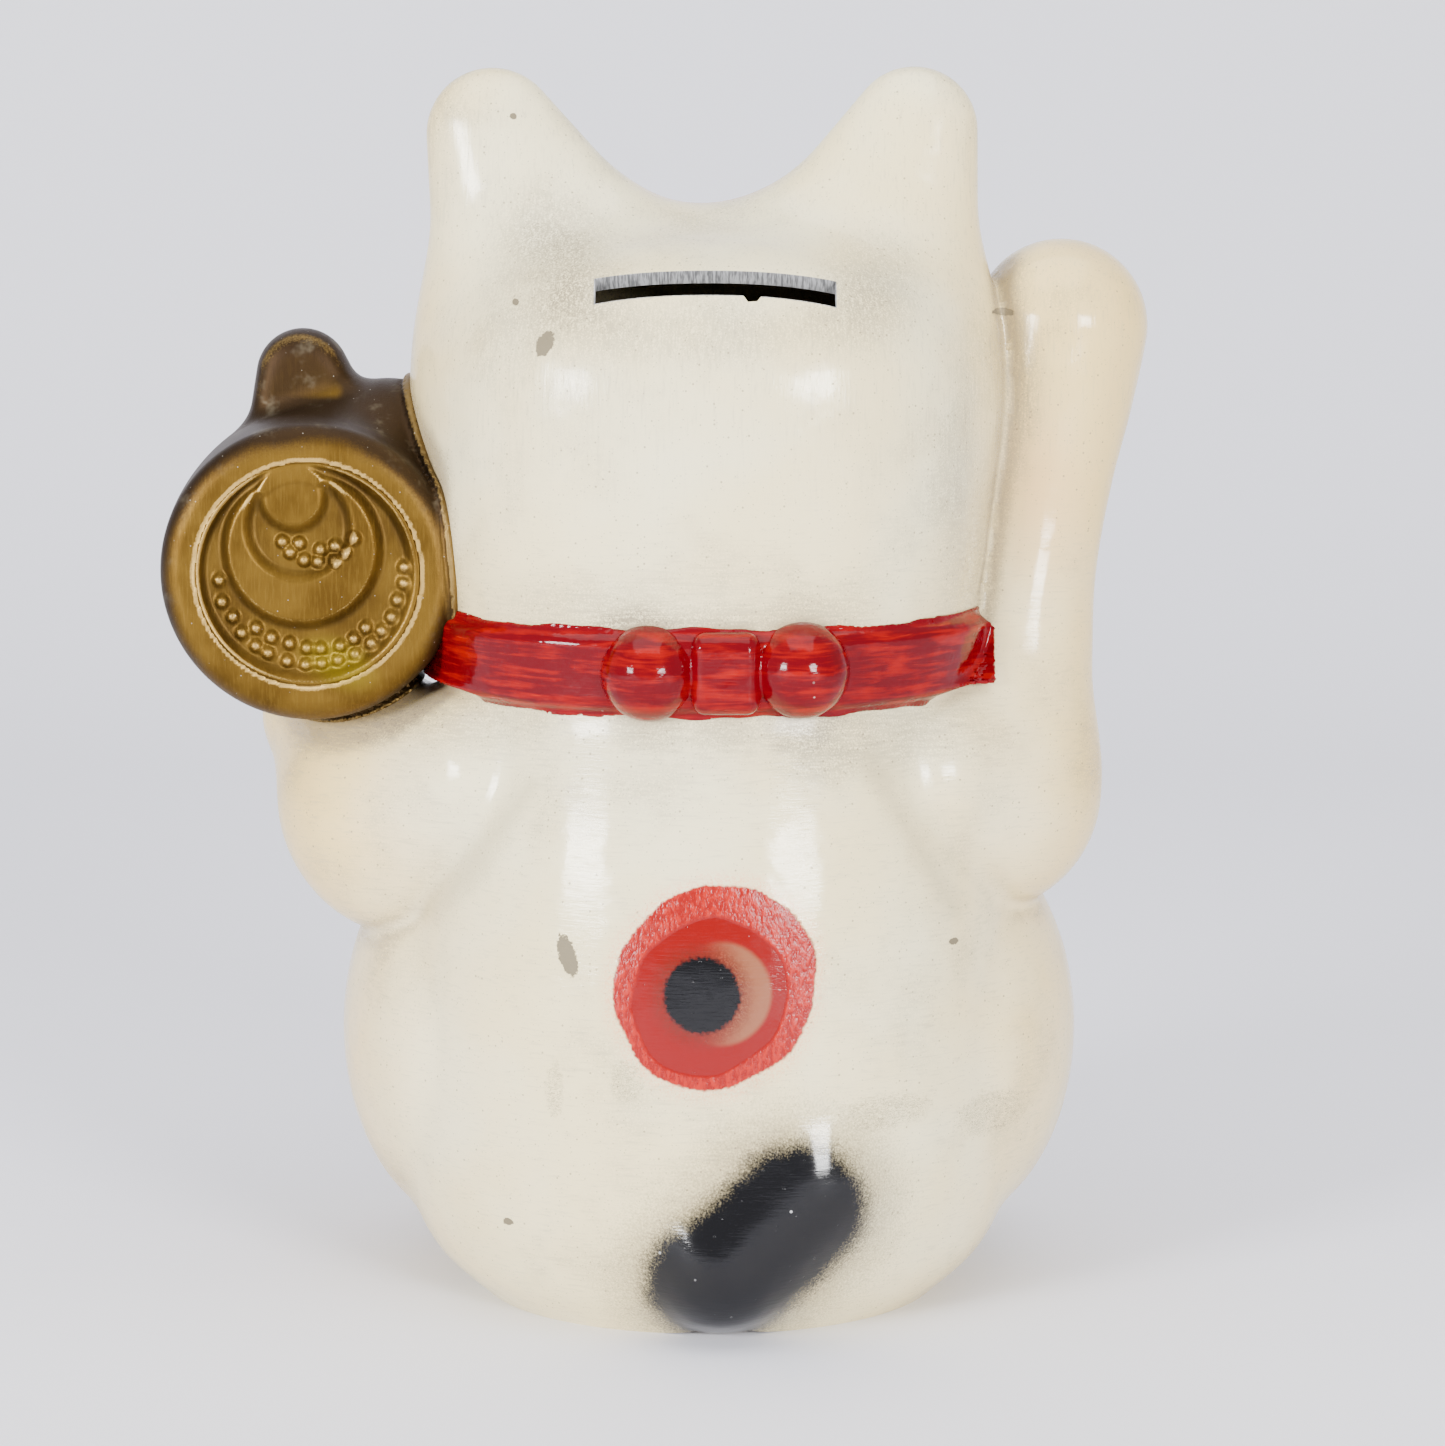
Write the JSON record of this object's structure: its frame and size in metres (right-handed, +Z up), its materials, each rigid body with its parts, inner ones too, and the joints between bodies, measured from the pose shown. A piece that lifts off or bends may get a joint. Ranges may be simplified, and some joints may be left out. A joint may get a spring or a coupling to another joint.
{
  "type": "beckoning cat figurine",
  "caption": "Hollow seated cat figurine with a raised paw and a mallet, a coin slot in the back of its head and a rubber stopper in its base.",
  "frame": {"origin": "middle of the flat base, on the surface that the figurine stands on", "axes": "+Z up, the cat looks along -Y, and its raised right paw is on the -X side"},
  "size_m": [0.1557, 0.1154, 0.1945],
  "materials": {
    "ivory_lacquer": "aged gloss lacquer over pressed clay",
    "bare_clay": "matte unglazed",
    "stopper_rubber": "matte, aged red-brown",
    "bronze_paint": "satin bronze-gold paint over clay, shaded darker at the edges",
    "gold_paint": "satin gold paint over clay",
    "red_lacquer": "high gloss, streaky",
    "black_lacquer": "gloss, sprayed"
  },
  "bodies": {
    "figure": {"back_shell": "ivory_lacquer", "front_shell": "ivory_lacquer", "raised_arm": "ivory_lacquer", "holding_arm": "ivory_lacquer", "left_hind_paw": "ivory_lacquer", "right_hind_paw": "ivory_lacquer", "base_slab": "bare_clay", "mallet_head": "bronze_paint", "mallet_grip": "bronze_paint", "mallet_back_medallion": "bronze_paint", "mallet_front_medallion": "bronze_paint", "collar_bell": "gold_paint", "collar_back_band": "red_lacquer", "collar_front_band": "red_lacquer", "collar_knot": "red_lacquer", "tail": "black_lacquer"},
    "stopper": {"base_stopper": "stopper_rubber"}
  },
  "joints": [
    {"name": "stopper_pull", "type": "slide", "parent": "figure", "child": "stopper", "axis": [0, 0, -1], "range_m": [0, 0.03]}
  ]
}
